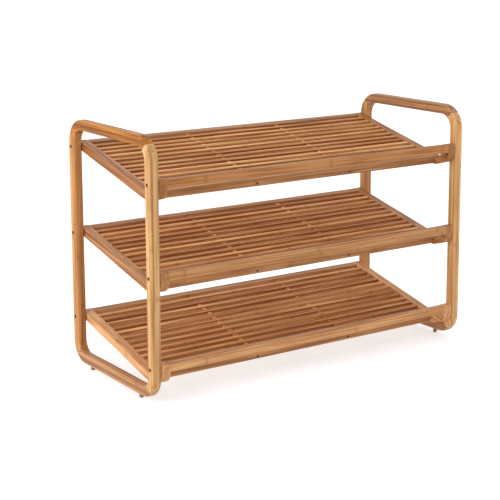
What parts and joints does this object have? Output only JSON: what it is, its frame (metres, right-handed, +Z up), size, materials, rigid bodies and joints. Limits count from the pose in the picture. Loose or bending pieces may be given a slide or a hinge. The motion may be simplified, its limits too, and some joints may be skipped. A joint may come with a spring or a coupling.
{
  "type": "slatted shoe rack",
  "caption": "Low tiered bamboo shoe rack: closed loop end frames with rounded corners carry slatted shelves that tilt to the front, each ending in a raised stop bar.",
  "frame": {"origin": "on the floor, under the middle of the rack's width and depth", "axes": "+X along the width to the rack's right side as seen from the front, -Y towards the open front where the shelves end low, +Z up"},
  "size_m": [0.735, 0.31, 0.489],
  "materials": {
    "bamboo_post": "laminated bamboo with a satin clear coat, light honey",
    "bamboo_frame_rail": "laminated bamboo with a satin clear coat, grain along the rail",
    "bamboo_shelf": "laminated bamboo with a satin clear coat, grain along each member",
    "bamboo_slat": "solid bamboo slats with a satin clear coat, tone varies from slat to slat",
    "dowel_wood": "plain unfinished dowel wood",
    "fastener_steel": "dark steel bolts and screws, dull",
    "insert_brass": "plain turned brass",
    "foot_rubber": "matt grey-brown rubber"
  },
  "bodies": {
    "root": {"left_front_post": "bamboo_post", "left_rear_post": "bamboo_post", "left_top_rail": "bamboo_frame_rail", "left_bottom_rail": "bamboo_frame_rail", "right_front_post": "bamboo_post", "right_rear_post": "bamboo_post", "right_top_rail": "bamboo_frame_rail", "right_bottom_rail": "bamboo_frame_rail", "lower_left_side_rail": "bamboo_shelf", "lower_right_side_rail": "bamboo_shelf", "lower_rear_rail": "bamboo_shelf", "lower_front_rail": "bamboo_shelf", "lower_stop_bar": "bamboo_shelf", "lower_slats": "bamboo_slat", "lower_battens": "bamboo_slat", "middle_left_side_rail": "bamboo_shelf", "middle_right_side_rail": "bamboo_shelf", "middle_rear_rail": "bamboo_shelf", "middle_front_rail": "bamboo_shelf", "middle_stop_bar": "bamboo_shelf", "middle_slats": "bamboo_slat", "middle_battens": "bamboo_slat", "upper_left_side_rail": "bamboo_shelf", "upper_right_side_rail": "bamboo_shelf", "upper_rear_rail": "bamboo_shelf", "upper_front_rail": "bamboo_shelf", "upper_stop_bar": "bamboo_shelf", "upper_slats": "bamboo_slat", "upper_battens": "bamboo_slat", "front_left_foot": "foot_rubber", "front_right_foot": "foot_rubber", "rear_left_foot": "foot_rubber", "rear_right_foot": "foot_rubber", "mitre_dowels": "dowel_wood", "rail_dowels": "dowel_wood", "batten_screws": "fastener_steel", "assembly_bolts": "fastener_steel", "threaded_inserts": "insert_brass"}
  },
  "joints": []
}
